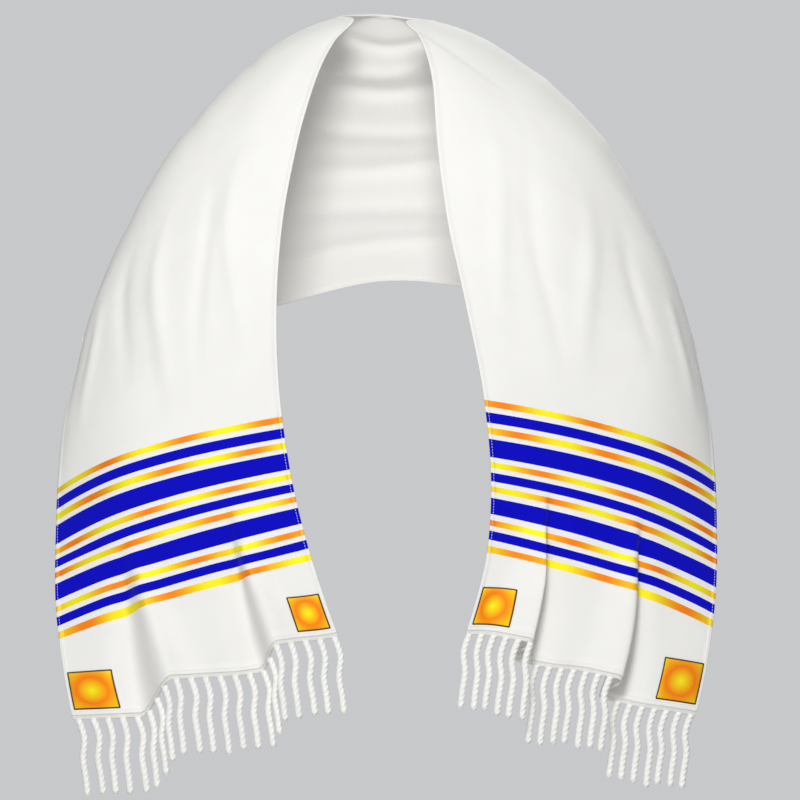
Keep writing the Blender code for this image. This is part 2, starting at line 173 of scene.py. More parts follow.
# The long edges flutter round the neck, but not near the hems, where the folds hold them.
EDGE_FLUTTER = 0.0022
EDGE_FLUTTER_WIDTH = 0.05
FLUTTER_ALONG = 24.0
FLUTTER_ACROSS = 6.0
FLUTTER_START = 0.62
FLUTTER_RISE = 0.15

# Where the cloth's points lie, as stretches of the width and of the length.
Stretch = namedtuple("Stretch", "start end cells")
WIDTH_STRETCHES = [
    Stretch(0.0, HEM_WIDTH, 4),
    Stretch(HEM_WIDTH, HEM_WIDTH + HEM_STEP, 1),
    Stretch(HEM_WIDTH + HEM_STEP, CUT_WIDTH - HEM_WIDTH - HEM_STEP, 102),
    Stretch(CUT_WIDTH - HEM_WIDTH - HEM_STEP, CUT_WIDTH - HEM_WIDTH, 1),
    Stretch(CUT_WIDTH - HEM_WIDTH, CUT_WIDTH, 4),
]
LENGTH_STRETCHES = [
    Stretch(0.0, HEM_WIDTH, 4),
    Stretch(HEM_WIDTH, HEM_WIDTH + HEM_STEP, 1),
    Stretch(HEM_WIDTH + HEM_STEP, CUT_LENGTH - HEM_WIDTH - HEM_STEP, 344),
    Stretch(CUT_LENGTH - HEM_WIDTH - HEM_STEP, CUT_LENGTH - HEM_WIDTH, 1),
    Stretch(CUT_LENGTH - HEM_WIDTH, CUT_LENGTH, 4),
]
SECTION_SAMPLES = 240


def smooth_curve(knots, values):
    """Give a smooth curve through a table's rows, in cubic pieces that share their slopes."""
    knots = np.array(knots)
    values = np.array(values)
    slopes = np.gradient(values, knots)

    def height_at(place):
        place = np.clip(place, knots[0], knots[-1])
        piece = np.clip(np.searchsorted(knots, place) - 1, 0, len(knots) - 2)
        length = knots[piece + 1] - knots[piece]
        share = (place - knots[piece]) / length
        rest = 1 - share
        ends = values[piece] * rest**2 * (1 + 2 * share) + values[piece + 1] * share**2 * (1 + 2 * rest)
        bends = slopes[piece] * share * rest**2 - slopes[piece + 1] * share**2 * rest
        return ends + bends * length

    return height_at


def column(rows, name):
    return [getattr(row, name) for row in rows]


def smooth_step(share):
    share = np.clip(share, 0.0, 1.0)
    return share * share * (3 - 2 * share)


def unit(vectors):
    return vectors / np.linalg.norm(vectors, axis=-1, keepdims=True)


ridge_at = smooth_curve(column(DEPTHS, "z"), column(DEPTHS, "ridge"))
front_at = smooth_curve(column(DEPTHS, "z"), column(DEPTHS, "front"))
back_at = smooth_curve(column(DEPTHS, "z"), column(DEPTHS, "back"))
facing_at = smooth_curve(column(DEPTHS, "z"), column(DEPTHS, "facing"))


def fall_of(z):
    """Give the angle down the arch, from its top, at a height."""
    above = z - ARCH_CENTRE_Z
    return math.acos(above / (ARCH_RISE if above > 0 else ARCH_FALL))


def arch_width(fall, z):
    """Give the drape's half width at a height, widened where the outer edge faces forward."""
    return ARCH_REACH * np.sin(fall) ** ARCH_FULLNESS / np.cos(np.radians(facing_at(z)))


def drape_point(turn, fall):
    """Give the point at an angle round the body and an angle down the arch."""
    rise = np.where(fall < math.pi / 2, ARCH_RISE, ARCH_FALL)
    z = ARCH_CENTRE_Z + rise * np.cos(fall)
    depth = np.where(np.sin(turn) < 0, front_at(z), back_at(z))
    x = arch_width(fall, z) * np.cos(turn) + ARCH_LEAN * np.sin(2 * fall)
    y = ridge_at(z) + depth * np.sin(turn)
    return np.stack([x, y, z], axis=-1)


def front_turn(edge_x, edge_z):
    """Give the angle round the body at which the front edge stands at its given x."""
    fall = fall_of(edge_z)
    share = abs(edge_x - ARCH_LEAN * math.sin(2 * fall)) / arch_width(fall, edge_z)
    return -math.acos(share)


def half_sections(front_rows, back_rows, mirrored):
    """Give each section's run and its two ends as angles, for one half of the panel."""
    sections = []
    for row in front_rows:
        ends = [front_turn(row.edge_x, row.edge_z), fall_of(row.edge_z)]
        ends += [-math.radians(float(facing_at(row.outer_z))), fall_of(row.outer_z)]
        sections.append([row.run] + ends)
    for row in back_rows:
        ends = [math.radians(row.edge_turn), fall_of(row.edge_z)]
        ends += [math.radians(row.outer_turn), fall_of(row.outer_z)]
        sections.append([row.run] + ends)
    sections = np.array(sections)
    if mirrored:
        sections[:, 1] = math.pi - sections[:, 1]
        sections[:, 3] = math.pi - sections[:, 3]
    return sections


def whole_sections():
    """Give the sections from the left hem, round the neck, to the right hem."""
    left = half_sections(LEFT_FRONT, LEFT_BACK, mirrored=True)
    middle = half_sections([], [MIDDLE_BACK], mirrored=False)
    right = half_sections(RIGHT_FRONT, RIGHT_BACK, mirrored=False)[::-1]
    right[:, 0] = CUT_LENGTH - right[:, 0]
    return np.concatenate([left, middle, right])


def stops(stretches):
    """Give the places of the cloth's points along a list of stretches."""
    places = [stretches[0].start]
    for stretch in stretches:
        places.extend(np.linspace(stretch.start, stretch.end, stretch.cells + 1)[1:])
    return np.array(places)


WIDTH_STOPS = stops(WIDTH_STRETCHES)
LENGTH_STOPS = stops(LENGTH_STRETCHES)


def even_section(edge_turn, edge_fall, outer_turn, outer_fall):
    """Give the section's points at the width stops, spaced by its length."""
    share = np.linspace(0, 1, SECTION_SAMPLES)
    turn = edge_turn + (outer_turn - edge_turn) * share
    fall = edge_fall + (outer_fall - edge_fall) * share
    samples = drape_point(turn, fall)
    steps = np.linalg.norm(np.diff(samples, axis=0), axis=1)
    travelled = np.concatenate([[0], np.cumsum(steps)])
    wanted = WIDTH_STOPS / CUT_WIDTH * travelled[-1]
    points = [np.interp(wanted, travelled, samples[:, axis]) for axis in range(3)]
    return np.stack(points, axis=-1)


def plain_drape():
    """Give the panel's middle surface before its folds, as a grid along and across."""
    sections = whole_sections()
    ends = [smooth_curve(sections[:, 0], sections[:, k]) for k in range(1, 5)]
    return np.array([even_section(*[end(run) for end in ends]) for run in LENGTH_STOPS])


def headings(grid, axis):
    """Give the unit direction at each point, halfway between those of its two cells."""
    steps = unit(np.diff(grid, axis=axis))
    before = np.concatenate([np.take(steps, [0], axis=axis), steps], axis=axis)
    after = np.concatenate([steps, np.take(steps, [-1], axis=axis)], axis=axis)
    return unit(before + after)


def directions(grid):
    """Give the surface's unit directions along, across and outward at each point."""
    along = headings(grid, 0)
    across = headings(grid, 1)
    outward = unit(np.cross(along, across))
    return along, across, outward


def swing(place):
    """Rise to one on the near side of a fold and fall to minus one on its far side."""
    return -math.sqrt(math.e) * place * np.exp(-place * place / 2)


def stepped_hem(start_z, end_z, folds, bow):
    """Give the hem's height across the panel, with a step down at each fold."""
    share = WIDTH_STOPS / CUT_WIDTH
    steps = sum(fold.drop for fold in folds)
    height = start_z + (end_z - start_z + steps) * share**bow
    for fold in folds:
        spread = HEM_STEP_SPREAD * fold.size / CUT_WIDTH
        height = height - fold.drop * smooth_step((share - fold.across + spread) / (2 * spread))
    return height


def fold_panel(grid, rows, folds, bow):
    """Swing the folds out of one front panel, from its hem up."""
    along, across, outward = directions(grid)
    share = WIDTH_STOPS / CUT_WIDTH
    hem = rows[0]
    hem_shift = stepped_hem(grid[hem, 0, 2], grid[hem, -1, 2], folds, bow) - grid[hem, :, 2]
    shifts = np.zeros_like(grid)
    for row in rows:
        run = min(LENGTH_STOPS[row], CUT_LENGTH - LENGTH_STOPS[row])
        past_hold = (run - HEM_STEP_HOLD) / (HEM_STEP_REACH - HEM_STEP_HOLD)
        shifts[row, :, 2] += hem_shift * (1 - smooth_step(past_hold))
        for fold in folds:
            fading = 1 - smooth_step(run / fold.reach)
            size = fold.size * (FOLD_TOP_SIZE + (1 - FOLD_TOP_SIZE) * fading)
            strength = fading * swing((share - fold.across) * CUT_WIDTH / size)
            shifts[row] += (strength * fold.depth)[:, None] * outward[row]
            shifts[row] += (strength * fold.lean)[:, None] * across[row]
    return grid + shifts


def crease_height(across, along):
    """Give how far the soft creases, ripples and fluttering edges move the face."""
    height = np.zeros_like(across)
    for crease in CREASES:
        reach = np.array([crease.end_across - crease.across, crease.end_along - crease.along])
        length = np.linalg.norm(reach)
        ahead = reach / length
        side = np.array([-ahead[1], ahead[0]])
        from_start = np.stack([across - crease.across, along - crease.along], axis=-1)
        share = from_start @ ahead / length
        aside = from_start @ side - crease.wander * np.sin(CREASE_WANDER_TURN * share)
        fading = np.sin(math.pi * np.clip(share, 0, 1)) ** CREASE_TAPER
        height += crease.height * fading * np.exp(-((aside / crease.width) ** 2))
    for row in RIPPLES:
        height += RIPPLE_HEIGHT * row.share * np.sin(row.across * across + row.along * along + row.start)
    edge = np.minimum(across, CUT_WIDTH - across)
    flutter = np.exp(-edge / EDGE_FLUTTER_WIDTH) * np.sin(FLUTTER_ALONG * along + FLUTTER_ACROSS * across)
    free = smooth_step((np.minimum(along, CUT_LENGTH - along) - FLUTTER_START) / FLUTTER_RISE)
    return height + EDGE_FLUTTER * flutter * free


def hem_thickness(across, along):
    """Give the cloth's thickness, doubled where the hem is turned."""
    edge = np.minimum(np.minimum(across, CUT_WIDTH - across), np.minimum(along, CUT_LENGTH - along))
    turned = 1 - smooth_step((edge - HEM_WIDTH) / HEM_STEP)
    return CLOTH_THICKNESS + (HEM_THICKNESS - CLOTH_THICKNESS) * turned


cut_along, cut_across = np.meshgrid(LENGTH_STOPS, WIDTH_STOPS, indexing="ij")
middle_row = len(LENGTH_STOPS) // 2
cloth_grid = plain_drape()
cloth_grid = fold_panel(cloth_grid, list(range(0, middle_row)), LEFT_FOLDS, LEFT_HEM_BOW)
right_rows = list(range(len(LENGTH_STOPS) - 1, middle_row, -1))
cloth_grid = fold_panel(cloth_grid, right_rows, RIGHT_FOLDS, RIGHT_HEM_BOW)
cloth_grid = cloth_grid + directions(cloth_grid)[2] * crease_height(cut_across, cut_along)[:, :, None]
cloth_along = headings(cloth_grid, 0)
cloth_outward = directions(cloth_grid)[2]
half_wall = cloth_outward * hem_thickness(cut_across, cut_along)[:, :, None] / 2
cloth_face = cloth_grid + half_wall
cloth_back = cloth_grid - half_wall


def on_cloth(across, along, lift=0.0):
    """Give the points on the cloth's face at places of the cut, lifted off it."""
    row = np.interp(along, LENGTH_STOPS, np.arange(len(LENGTH_STOPS)))
    col = np.interp(across, WIDTH_STOPS, np.arange(len(WIDTH_STOPS)))
    i = np.minimum(row.astype(int), len(LENGTH_STOPS) - 2)
    j = np.minimum(col.astype(int), len(WIDTH_STOPS) - 2)
    down = (row - i)[..., None]
    over = (col - j)[..., None]
    lifted = cloth_face + cloth_outward * lift
    near = lifted[i, j] * (1 - over) + lifted[i, j + 1] * over
    far = lifted[i + 1, j] * (1 - over) + lifted[i + 1, j + 1] * over
    return near * (1 - down) + far * down


def closed_sheet(name, face, back, places, uv_name, material):
    """Make a closed thin sheet between two grids, with a map of each point's place on the cut."""
    rows, columns = face.shape[:2]
    under = rows * columns
    points = np.concatenate([face.reshape(-1, 3), back.reshape(-1, 3)])
    faces = []
    for i in range(rows - 1):
        for j in range(columns - 1):
            corner = i * columns + j
            quad = [corner, corner + columns, corner + columns + 1, corner + 1]
            faces.append(quad)
            faces.append([under + k for k in reversed(quad)])
    rim = list(range(columns))
    rim += [i * columns + columns - 1 for i in range(1, rows)]
    rim += [(rows - 1) * columns + j for j in range(columns - 2, -1, -1)]
    rim += [i * columns for i in range(rows - 2, 0, -1)]
    for here, there in zip(rim, rim[1:] + rim[:1]):
        faces.append([here, there, under + there, under + here])
    mesh = bpy.data.meshes.new(name)
    mesh.from_pydata(points.tolist(), [], faces)
    cut = np.concatenate([places.reshape(-1, 2)] * 2)
    corners = np.empty(len(mesh.loops), dtype=np.int32)
    mesh.loops.foreach_get("vertex_index", corners)
    layer = mesh.uv_layers.new(name=uv_name)
    layer.uv.foreach_set("vector", cut[corners].astype(np.float32).ravel())
    shape = bmesh.new()
    shape.from_mesh(mesh)
    bmesh.ops.recalc_face_normals(shape, faces=shape.faces)
    shape.to_mesh(mesh)
    shape.free()
    mesh.shade_smooth()
    mesh.materials.append(material)
    piece = bpy.data.objects.new(name, mesh)
    bpy.context.scene.collection.objects.link(piece)
    return piece


def add_node(tree, kind, inputs=None, **settings):
    """Add one node, with its settings and with each input given as a value or a link."""
    node = tree.nodes.new(kind)
    for key, value in settings.items():
        setattr(node, key, value)
    for key, value in (inputs or {}).items():
        if isinstance(value, bpy.types.NodeSocket):
            tree.links.new(value, node.inputs[key])
        else:
            node.inputs[key].default_value = value
    return node


def maths(tree, operation, first, second=0.0):
    """Add one sum and give its result."""
    kind = "ShaderNodeMath"
    return add_node(tree, kind, {0: first, 1: second}, operation=operation).outputs[0]


def blend(tree, share, first, second):
    """Blend two colours by a share and give the result."""
    mix = add_node(tree, "ShaderNodeMix", data_type="RGBA")
    for socket, value in ((mix.inputs[0], share), (mix.inputs[6], first), (mix.inputs[7], second)):
        if isinstance(value, bpy.types.NodeSocket):
            tree.links.new(value, socket)
        else:
            socket.default_value = value
    return mix.outputs[2]


def bands(tree, place, edges):
    """Give one inside the given stretches of a zero to one place and zero outside them."""
    ramp = add_node(tree, "ShaderNodeValToRGB", {"Fac": place})
    ramp.color_ramp.interpolation = "CONSTANT"
    ramp.color_ramp.elements.remove(ramp.color_ramp.elements[1])
    ramp.color_ramp.elements[0].position = 0.0
    ramp.color_ramp.elements[0].color = (0, 0, 0, 1)
    for start, end, value in sorted(edges):
        ramp.color_ramp.elements.new(start).color = (value, value, value, 1)
        ramp.color_ramp.elements.new(end).color = (0, 0, 0, 1)
    return ramp.outputs["Color"]


def new_group(name, inputs, outputs):
    """Start a shader group with its named inputs and outputs."""
    tree = bpy.data.node_groups.new(name, "ShaderNodeTree")
    for label, kind, value in inputs:
        socket = tree.interface.new_socket(label, in_out="INPUT", socket_type=kind)
        if value is not None:
            socket.default_value = value
    for label, kind in outputs:
        tree.interface.new_socket(label, in_out="OUTPUT", socket_type=kind)
    return tree, add_node(tree, "NodeGroupInput"), add_node(tree, "NodeGroupOutput")


def use_group(tree, group, inputs):
    return add_node(tree, "ShaderNodeGroup", inputs, node_tree=group)


def raise_relief(tree, shader, height, strength, distance):
    """Raise fine relief on a shader's surface."""
    bump = add_node(tree, "ShaderNodeBump", {"Height": height, "Strength": strength, "Distance": distance})
    tree.links.new(bump.outputs[0], shader.inputs["Normal"])


# Plain weave: threads cross over and under one another, one thread pitch apart.
plain_weave, given, made = new_group(
    "plain_weave",
    [("Place", "NodeSocketVector", None), ("Thread Pitch", "NodeSocketFloat", 0.001)],
    [("Height", "NodeSocketFloat")],
)
apart = add_node(plain_weave, "ShaderNodeSeparateXYZ", {0: given.outputs["Place"]})
turn_per_metre = maths(plain_weave, "DIVIDE", math.pi, given.outputs["Thread Pitch"])
warp = maths(plain_weave, "SINE", maths(plain_weave, "MULTIPLY", apart.outputs["X"], turn_per_metre))
weft = maths(plain_weave, "SINE", maths(plain_weave, "MULTIPLY", apart.outputs["Y"], turn_per_metre))
over = maths(plain_weave, "GREATER_THAN", maths(plain_weave, "MULTIPLY", warp, weft), 0.0)
under = maths(plain_weave, "SUBTRACT", 1.0, over)
warp_crown = maths(plain_weave, "MULTIPLY", maths(plain_weave, "ABSOLUTE", warp), over)
weft_crown = maths(plain_weave, "MULTIPLY", maths(plain_weave, "ABSOLUTE", weft), under)
crown = maths(plain_weave, "ADD", warp_crown, weft_crown)
plain_weave.links.new(crown, made.inputs["Height"])

# Wool nap: a fine fuzz, and slow changes of tone from thread to thread.
wool_nap, given, made = new_group(
    "wool_nap",
    [
        ("Place", "NodeSocketVector", None),
        ("Fuzz Scale", "NodeSocketFloat", 900.0),
        ("Tone Scale", "NodeSocketFloat", 14.0),
    ],
    [("Fuzz", "NodeSocketFloat"), ("Tone", "NodeSocketFloat")],
)
fuzz = add_node(
    wool_nap,
    "ShaderNodeTexNoise",
    {"Vector": given.outputs["Place"], "Scale": given.outputs["Fuzz Scale"], "Detail": 2.0},
)
tone = add_node(
    wool_nap,
    "ShaderNodeTexNoise",
    {"Vector": given.outputs["Place"], "Scale": given.outputs["Tone Scale"], "Detail": 3.0},
)
wool_nap.links.new(fuzz.outputs[0], made.inputs["Fuzz"])
wool_nap.links.new(tone.outputs[0], made.inputs["Tone"])


def use_nap(tree, place, fuzz_scale, tone_scale):
    return use_group(tree, wool_nap, {"Place": place, "Fuzz Scale": fuzz_scale, "Tone Scale": tone_scale})


# The woven bands, from the top one down. start and end are shares of the whole band's height.
# The last two columns are how far across the cut each panel's painted sheen on the gold is brightest.
BAND_TOP = 0.275
BAND_FALL = 0.185
Gold = namedtuple("Gold", "start end left_bright right_bright")
GOLD_STRIPES = [
    Gold(0.002, 0.048, 0.105, 0.115),
    Gold(0.182, 0.232, 0.140, 0.140),
    Gold(0.411, 0.451, 0.185, 0.180),
    Gold(0.572, 0.612, 0.220, 0.205),
    Gold(0.791, 0.833, 0.265, 0.245),
    Gold(0.955, 0.999, 0.330, 0.315),
]
BLUE_STRIPES = [(0.082, 0.152), (0.263, 0.381), (0.482, 0.540), (0.648, 0.758), (0.863, 0.921)]
LEFT_GOLD_PERIOD = 0.155
RIGHT_GOLD_PERIOD = 0.168
BAND_MAP_LENGTH = 0.30
WEFT_BOW = 0.006
WEFT_SKEW = 0.010
WEFT_LEVEL = 0.40
THREAD_PITCH = 0.0009
BAND_UNEVENNESS = 0.0006
CLOTH_ROUGHNESS = 0.85
GOLD_SMOOTHING = 0.40
GOLD_METAL = 0.35
WOOL_WHITE = (0.90, 0.89, 0.86, 1.0)
WOOL_SHADE = (0.84, 0.83, 0.79, 1.0)
BAND_BLUE = (0.0005, 0.0005, 0.56, 1.0)
BLUE_SHADE = (0.0004, 0.0004, 0.47, 1.0)
# Painted sheen on the gold threads: yellow where the sheen is brightest, orange away from it.
GOLD_SHEEN_YELLOW = (1.0, 0.90, 0.015, 1.0)
GOLD_SHEEN_ORANGE = (1.0, 0.25, 0.008, 1.0)


def new_material(name, roughness, sheen):
    """Start a material from one Principled shader."""
    material = bpy.data.materials.new(name)
    material.use_nodes = True
    tree = material.node_tree
    shader = tree.nodes["Principled BSDF"]
    shader.inputs["Roughness"].default_value = roughness
    shader.inputs["Sheen Weight"].default_value = sheen
    shader.inputs["Sheen Roughness"].default_value = 0.5
    shader.inputs["Specular IOR Level"].default_value = 0.12
    return material, tree, shader


def band_place(share):
    """Give a share of the band as a share of the mapped length above the hem."""
    return (BAND_TOP - share * BAND_FALL) / BAND_MAP_LENGTH


cloth_wool, tree, shader = new_material("white_wool_cloth", CLOTH_ROUGHNESS, sheen=0.06)
cut_map = add_node(tree, "ShaderNodeUVMap", uv_map="cut").outputs["UV"]
nap = use_nap(tree, cut_map, fuzz_scale=1400.0, tone_scale=16.0)
weave = use_group(tree, plain_weave, {"Place": cut_map, "Thread Pitch": THREAD_PITCH})
cut_place = add_node(tree, "ShaderNodeSeparateXYZ", {0: cut_map})
from_right = maths(tree, "SUBTRACT", CUT_LENGTH, cut_place.outputs["Y"])
run = maths(tree, "MINIMUM", cut_place.outputs["Y"], from_right)
uneven = maths(tree, "MULTIPLY", maths(tree, "SUBTRACT", nap.outputs["Fuzz"], 0.5), BAND_UNEVENNESS)
band_share = maths(tree, "DIVIDE", maths(tree, "ADD", run, uneven), BAND_MAP_LENGTH)
on_right = maths(tree, "GREATER_THAN", cut_place.outputs["Y"], HALF_LENGTH)
blue_edges = [(band_place(end), band_place(start), 1.0) for start, end in BLUE_STRIPES]
blue = bands(tree, band_share, blue_edges)
gold_edges = [(band_place(row.end), band_place(row.start), 1.0) for row in GOLD_STRIPES]
gold = bands(tree, band_share, gold_edges)
# The gold's sheen is painted into its colour, waving from orange to yellow across the cut.
sheen_peaks = []
for side in ("left_bright", "right_bright"):
    edges = [(band_place(row.end), band_place(row.start), getattr(row, side)) for row in GOLD_STRIPES]
    sheen_peaks.append(bands(tree, band_share, edges))
painted_sheen_peak = blend(tree, on_right, sheen_peaks[0], sheen_peaks[1])
longer = maths(tree, "MULTIPLY", on_right, RIGHT_GOLD_PERIOD - LEFT_GOLD_PERIOD)
period = maths(tree, "ADD", LEFT_GOLD_PERIOD, longer)
away = maths(tree, "DIVIDE", maths(tree, "SUBTRACT", cut_place.outputs["X"], painted_sheen_peak), period)
wave = maths(tree, "COSINE", maths(tree, "MULTIPLY", away, 2 * math.pi))
painted_sheen = maths(tree, "ADD", maths(tree, "MULTIPLY", wave, 0.5), 0.5)
white = blend(tree, nap.outputs["Tone"], WOOL_SHADE, WOOL_WHITE)
blue_tone = blend(tree, nap.outputs["Tone"], BLUE_SHADE, BAND_BLUE)
gold_with_painted_sheen = blend(tree, painted_sheen, GOLD_SHEEN_ORANGE, GOLD_SHEEN_YELLOW)
colour = blend(tree, gold, blend(tree, blue, white, blue_tone), gold_with_painted_sheen)
tree.links.new(colour, shader.inputs["Base Color"])
tree.links.new(maths(tree, "MULTIPLY", gold, GOLD_METAL), shader.inputs["Metallic"])
smoother = maths(tree, "MULTIPLY", gold, GOLD_SMOOTHING)
tree.links.new(maths(tree, "SUBTRACT", CLOTH_ROUGHNESS, smoother), shader.inputs["Roughness"])
relief = maths(tree, "ADD", weave.outputs["Height"], maths(tree, "MULTIPLY", nap.outputs["Fuzz"], 0.6))
raise_relief(tree, shader, relief, strength=0.35, distance=0.00025)

# The weft rises a little in the middle of the panel and sinks towards its outer edge.
width_share = cut_across / CUT_WIDTH
bow = WEFT_BOW * 4 * width_share * (1 - width_share)
skew = WEFT_SKEW * (WEFT_LEVEL - width_share)
rise = smooth_step(np.minimum(cut_along, CUT_LENGTH - cut_along) / BAND_TOP)
on_left = cut_along < HALF_LENGTH
lift = np.where(on_left, -(bow + skew) * rise, bow + skew * rise)
above_band = (np.minimum(cut_along, CUT_LENGTH - cut_along) - BAND_TOP) / BAND_TOP
cut_places = np.stack([cut_across, cut_along + lift * (1 - smooth_step(above_band))], axis=-1)
shawl = closed_sheet("shawl_panel", cloth_face, cloth_back, cut_places, "cut", cloth_wool)
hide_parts("shawl_cloth")
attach(shawl, "root")

# The hem's stitches are one row of white sewing thread, just inside the turned edge. They hold
# the turn down and show on the face as short stitches with a small gap between.
HEM_STITCH = {
    "Spacing": 0.0034,
    "Stitch Length": 0.0026,
    "Stitch Width": 0.0007,
    "Stitch Height": 0.0005,
    "Turn": 0.0,
}
STITCH_INSET = 0.0048
STITCH_LIFT = 0.0001
FACING_STEP = 0.001
STITCH_ROW_POINTS = 620
HEM_ROW_POINTS = 220
THREAD_WHITE = (0.88, 0.87, 0.83, 1.0)
THREAD_SHADE = (0.74, 0.72, 0.67, 1.0)


def geometry_tree(name, sizes):
    """Start a geometry tree with a named input for each of its sizes."""
    tree = bpy.data.node_groups.new(name, "GeometryNodeTree")
    tree.interface.new_socket("Geometry", in_out="INPUT", socket_type="NodeSocketGeometry")
    for label, value in sizes.items():
        socket = tree.interface.new_socket(label, in_out="INPUT", socket_type="NodeSocketFloat")
        socket.default_value = value
    tree.interface.new_socket("Material", in_out="INPUT", socket_type="NodeSocketMaterial")
    tree.interface.new_socket("Geometry", in_out="OUTPUT", socket_type="NodeSocketGeometry")
    return tree, add_node(tree, "NodeGroupInput"), add_node(tree, "NodeGroupOutput")


def grown(name, lines, outwards, tree, sizes, material):
    """Run a geometry tree on guide lines and give its result as a plain piece."""
    points = np.concatenate(lines)
    edges = []
    start = 0
    for line in lines:
        edges += [(start + k, start + k + 1) for k in range(len(line) - 1)]
        start += len(line)
    guide_mesh = bpy.data.meshes.new(name + "_guide")
    guide_mesh.from_pydata(points.tolist(), edges, [])
    facing = guide_mesh.attributes.new("outward", "FLOAT_VECTOR", "POINT")
    facing.data.foreach_set("vector", np.concatenate(outwards).astype(np.float32).ravel())
    guide = bpy.data.objects.new(name + "_guide", guide_mesh)
    bpy.context.scene.collection.objects.link(guide)
    modifier = guide.modifiers.new("grown", "NODES")
    modifier.node_group = tree
    for item in tree.interface.items_tree:
        if item.in_out == "INPUT" and item.name in sizes:
            modifier[item.identifier] = sizes[item.name]
        if item.in_out == "INPUT" and item.name == "Material":
            modifier[item.identifier] = material
    shown = guide.evaluated_get(bpy.context.evaluated_depsgraph_get())
    mesh = bpy.data.meshes.new_from_object(shown)
    mesh.name = name
    bpy.data.objects.remove(guide, do_unlink=True)
    piece = bpy.data.objects.new(name, mesh)
    bpy.context.scene.collection.objects.link(piece)
    return piece


stitch_row, given, made = geometry_tree("stitch_row", HEM_STITCH)
row_line = add_node(stitch_row, "GeometryNodeMeshToCurve", {"Mesh": given.outputs["Geometry"]})
spaced = add_node(
    stitch_row,
    "GeometryNodeResampleCurve",
    {"Curve": row_line.outputs[0], "Length": given.outputs["Spacing"]},
    mode="LENGTH",
)
thread = add_node(stitch_row, "GeometryNodeMeshUVSphere", {"Segments": 6, "Rings": 4, "Radius": 0.5})
thread_size = add_node(
    stitch_row,
    "ShaderNodeCombineXYZ",
    {
        "X": given.outputs["Stitch Length"],
        "Y": given.outputs["Stitch Width"],
        "Z": given.outputs["Stitch Height"],
    },
)
faces_out = add_node(
    stitch_row,
    "GeometryNodeInputNamedAttribute",
    {"Name": "outward"},
    data_type="FLOAT_VECTOR",
)
runs_along = add_node(stitch_row, "GeometryNodeInputTangent")
up_turn = add_node(
    stitch_row,
    "FunctionNodeAlignRotationToVector",
    {"Vector": faces_out.outputs["Attribute"]},
    axis="Z",
)
along_turn = add_node(
    stitch_row,
    "FunctionNodeAlignRotationToVector",
    {"Rotation": up_turn.outputs[0], "Vector": runs_along.outputs[0]},
    axis="X",
    pivot_axis="Z",
)
slant = add_node(
    stitch_row,
    "FunctionNodeAxisAngleToRotation",
    {"Axis": (0, 0, 1), "Angle": given.outputs["Turn"]},
)
turned = add_node(
    stitch_row,
    "FunctionNodeRotateRotation",
    {"Rotation": along_turn.outputs[0], "Rotate By": slant.outputs[0]},
    rotation_space="LOCAL",
)
sewn = add_node(
    stitch_row,
    "GeometryNodeInstanceOnPoints",
    {
        "Points": spaced.outputs[0],
        "Instance": thread.outputs["Mesh"],
        "Rotation": turned.outputs[0],
        "Scale": thread_size.outputs[0],
    },
)
real = add_node(stitch_row, "GeometryNodeRealizeInstances", {"Geometry": sewn.outputs[0]})
smooth = add_node(stitch_row, "GeometryNodeSetShadeSmooth", {"Geometry": real.outputs[0]})
coloured = add_node(
    stitch_row,
    "GeometryNodeSetMaterial",
    {"Geometry": smooth.outputs[0], "Material": given.outputs["Material"]},
)
stitch_row.links.new(coloured.outputs[0], made.inputs["Geometry"])


def thread_material(name, light, dark, roughness):
    """Make a sewing thread's material, with its fine changes of tone."""
    material, tree, shader = new_material(name, roughness, sheen=0.15)
    place = add_node(tree, "ShaderNodeTexCoord").outputs["Object"]
    nap = use_nap(tree, place, fuzz_scale=2600.0, tone_scale=220.0)
    tree.links.new(blend(tree, nap.outputs["Tone"], dark, light), shader.inputs["Base Color"])
    raise_relief(tree, shader, nap.outputs["Fuzz"], strength=0.3, distance=0.0001)
    return material


def face_line(across, along, lift):
    """Give a line of points on the cloth's face, and the directions that face out there."""
    near = on_cloth(across, along, lift)
    return near, unit(on_cloth(across, along, lift + FACING_STEP) - near)


white_thread = thread_material("white_sewing_thread", THREAD_WHITE, THREAD_SHADE, roughness=0.6)
long_run = np.linspace(STITCH_INSET, CUT_LENGTH - STITCH_INSET, STITCH_ROW_POINTS)
short_run = np.linspace(STITCH_INSET, CUT_WIDTH - STITCH_INSET, HEM_ROW_POINTS)
hem_lines = [
    face_line(np.full_like(long_run, STITCH_INSET), long_run, STITCH_LIFT),
    face_line(np.full_like(long_run, CUT_WIDTH - STITCH_INSET), long_run, STITCH_LIFT),
    face_line(short_run, np.full_like(short_run, STITCH_INSET), STITCH_LIFT),
    face_line(short_run, np.full_like(short_run, CUT_LENGTH - STITCH_INSET), STITCH_LIFT),
]
hem_stitches = grown(
    "hem_stitches",
    [line for line, outward in hem_lines],
    [outward for line, outward in hem_lines],
    stitch_row,
    HEM_STITCH,
    white_thread,
)
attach(hem_stitches, "root")

# The corner patches are pieces of gold brocade, laid on the face at each corner to strengthen
# it. Their raw edges are covered by a close row of dark bronze satin stitches.
PATCH_START = HEM_WIDTH + HEM_STEP
INNER_PATCH = 0.054
OUTER_PATCH = 0.080
PATCH_HEIGHT = 0.042
PATCH_THICKNESS = 0.0010
PATCH_LIFT = 0.0002
PATCH_CELLS = 28
PATCH_ROUNDING = 0.10
PATCH_RIM = 0.25
SATIN_STITCH = {
    "Spacing": 0.0007,
    "Stitch Length": 0.0022,
    "Stitch Width": 0.0008,
    "Stitch Height": 0.0007,
    "Turn": math.radians(82),
}
SATIN_LIFT = PATCH_LIFT + 0.4 * PATCH_THICKNESS
SATIN_ROW_POINTS = 80
BRONZE_LIGHT = (0.060, 0.034, 0.010, 1.0)
BRONZE_SHADE = (0.020, 0.012, 0.004, 1.0)
